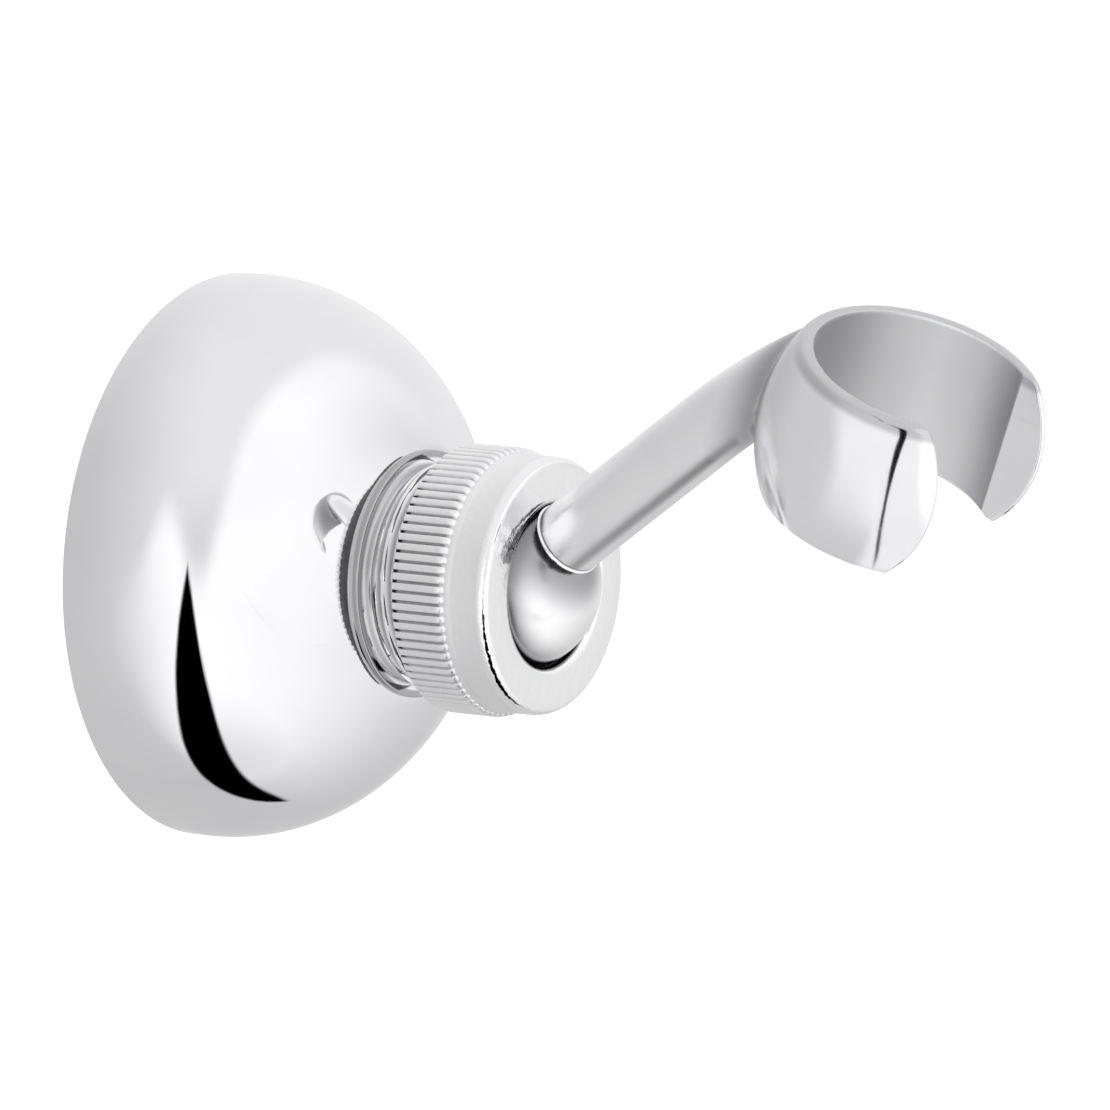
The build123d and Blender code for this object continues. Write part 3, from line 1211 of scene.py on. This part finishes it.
    def card_paint(self) -> Material:
        """Makes the card's face: white beside its gap, thinning out to its edges and for rays from further off.

        Returns:
            The material.
        """
        paint, pen, _ = blank_material("white_card")
        place = pen.add("ShaderNodeTexCoord").outputs["Object"]
        at = self.bearings(pen, pen.vector("NORMALIZE", pen.vector("SUBTRACT", place, self.card_centre)))
        start, (left, right), fade = self.card_climb[0], self.card_aside, self.card_fade
        sides = pen.fall(pen.math("ABSOLUTE", at.aside), right - fade, right)
        middle = pen.product(sides, pen.step(at.climb, start, start + fade), pen.fall(at.climb, *self.card_top))
        wing = pen.product(pen.ramp(at.climb, self.wing_climb), pen.fall(at.aside, -fade, 0.0))
        wing = pen.product(wing, pen.step(at.aside, left, self.wing_full))
        length = pen.add("ShaderNodeLightPath").outputs["Ray Length"]
        cover = pen.product(pen.math("MAXIMUM", middle, wing), pen.fall(length, *self.card_view))
        white = pen.product(self.gap.beside(at), self.card_level)
        glow = pen.add("ShaderNodeEmission", {"Strength": white}).outputs[0]
        clear = pen.add("ShaderNodeBsdfTransparent").outputs[0]
        face = pen.add("ShaderNodeMixShader", {0: cover, 1: clear, 2: glow}).outputs[0]
        pen.feed(paint.node_tree.nodes["Material Output"], {"Surface": face})
        return paint

    def slit_light(self, at: Bearings) -> NodeSocket:
        """Draws the dark slit and the soft fold above it.

        Args:
            at: The direction that a ray leaves in.

        Returns:
            How much light is left, from 0 in the slit to 1.
        """
        pen = at.pen
        half, middle = (pen.step(at.climb, *self.fold_climb, *ends) for ends in (self.fold_half, self.fold_middle))
        aside = pen.math("DIVIDE", pen.math("ABSOLUTE", pen.math("SUBTRACT", at.aside, middle)), half)
        fold = pen.step(aside, self.fold_core, 1.0, self.fold_dark, 0.0)
        fold = pen.product(fold, pen.step(at.climb, *self.fold_start), pen.fall(at.climb, *self.fold_end))
        return pen.product(self.slit.beside(at), pen.math("SUBTRACT", 1.0, fold))

    def roof(self, at: Bearings, right: NodeSocket) -> NodeSocket:
        """Draws the tent's upper half: its rear, the bay at the slit's end and its front.

        Args:
            at: The direction that a ray leaves in.
            right: Brightness far to the right.

        Returns:
            Its brightness.
        """
        pen = at.pen
        over = pen.math("FLOORED_MODULO", at.climb, 360.0)
        past = pen.math("SUBTRACT", over, pen.ramp(at.aside, self.bay_end))
        bay, rear = pen.ramp(at.aside, self.bay), pen.ramp(at.aside, self.rear)
        rear = pen.blend(pen.step(past, -self.bay_blur, self.bay_blur), bay, rear)
        edge = pen.math("SUBTRACT", at.aside, pen.ramp(over, self.front_edge))
        left = pen.blend(pen.step(edge, -self.front_blur, self.front_blur), rear, pen.ramp(over, self.front))
        return pen.blend(pen.step(at.aside, *self.far_right), left, right)

    def world(self) -> None:
        """Lights the world as a tent: white towards the camera's side, greyer round the back and overhead."""
        world = bpy.data.worlds.new("light_tent")
        bpy.context.scene.world = world
        world.use_nodes = True
        pen = NodeSketch(world.node_tree)
        background = world.node_tree.nodes["Background"]
        way = pen.add("ShaderNodeTexCoord").outputs["Generated"]
        at = self.bearings(pen, way)
        axes = pen.add("ShaderNodeSeparateXYZ", {0: way}).outputs
        turn = pen.math("DEGREES", pen.math("ARCTAN2", axes["X"], pen.product(axes["Y"], -1.0)))
        rise = pen.math("DEGREES", pen.math("ARCSINE", axes["Z"]))
        upper = self.roof(at, pen.ramp(turn, self.upper))
        cloth = pen.blend(pen.step(rise, *self.rise), pen.ramp(turn, self.lower), upper)
        cloth = pen.math("MINIMUM", cloth, pen.step(rise, *self.ground, self.underneath, 1.0))
        level = pen.product(cloth, self.lamps, self.slit_light(at))
        path = pen.add("ShaderNodeLightPath").outputs
        seen = pen.math("MAXIMUM", path["Is Camera Ray"], path["Is Transmission Ray"])
        pen.feed(background, {"Strength": pen.blend(seen, level, 1.0), "Color": WHITE})

    def floor(self) -> None:
        """Lays the pale floor, which keeps the holder's soft shadow."""
        bpy.ops.object.select_all(action="DESELECT")
        bpy.ops.mesh.primitive_plane_add(size=2 * self.floor_half, location=(0.0, 0.0, self.floor_z))
        ground = bpy.context.object
        ground.name = "floor"
        bpy.ops.object.transform_apply(location=True)
        paint, pen, shader = blank_material("pale_floor")
        camera = pen.add("ShaderNodeLightPath").outputs["Is Camera Ray"]
        pen.feed(shader, {
            "Base Color": self.floor_grey, "Roughness": self.floor_rough,
            "Emission Color": WHITE, "Emission Strength": pen.product(camera, self.floor_glow),
        })
        ground.data.materials.append(paint)
        ground.visible_glossy = False


@dataclass
class PhotoCamera:
    """Long lens from the left of the holder, a little above it.

    Attributes:
        place: Where the camera stands, in metres.
        back: Direction from the picture's middle back to the camera.
        focal: Focal length as a multiple of the picture's width.
        sensor: Sensor width, in millimetres.
        far: How far it sees, in metres.
    """

    place: Triple = (-0.8117, -0.5633, 0.15425)
    back: Triple = (-0.8335, -0.5304, 0.1545)
    focal: float = 7.463
    sensor: float = 36.0
    far: float = 50.0

    def build(self) -> None:
        """Adds the camera and makes it the scene's own."""
        data = bpy.data.cameras.new("photo_camera")
        data.sensor_width = self.sensor
        data.lens = self.focal * self.sensor
        data.clip_end = self.far
        camera = bpy.data.objects.new("photo_camera", data)
        bpy.context.scene.collection.objects.link(camera)
        back = Vector(self.back).normalized()
        right = Vector((0.0, 0.0, 1.0)).cross(back).normalized()
        turn = Matrix((right, back.cross(right), back)).transposed().to_4x4()
        camera.matrix_world = Matrix.Translation(Vector(self.place)) @ turn
        bpy.context.scene.camera = camera


def main() -> None:
    """Builds the tent, the camera and the finishes."""
    logging.basicConfig(level=logging.INFO, format="%(message)s")
    bpy.context.scene.view_settings.view_transform = "Standard"
    tent = LightTent()
    tent.world()
    tent.floor()
    tent.card()
    PhotoCamera().build()
    kit = EffectKit()
    for assembly in (WallCover(), BallClamp(), HoseArm()):
        assembly.dress(kit)
        LOG.info("finished %s", type(assembly).__name__)


if __name__ == "__main__":
    main()
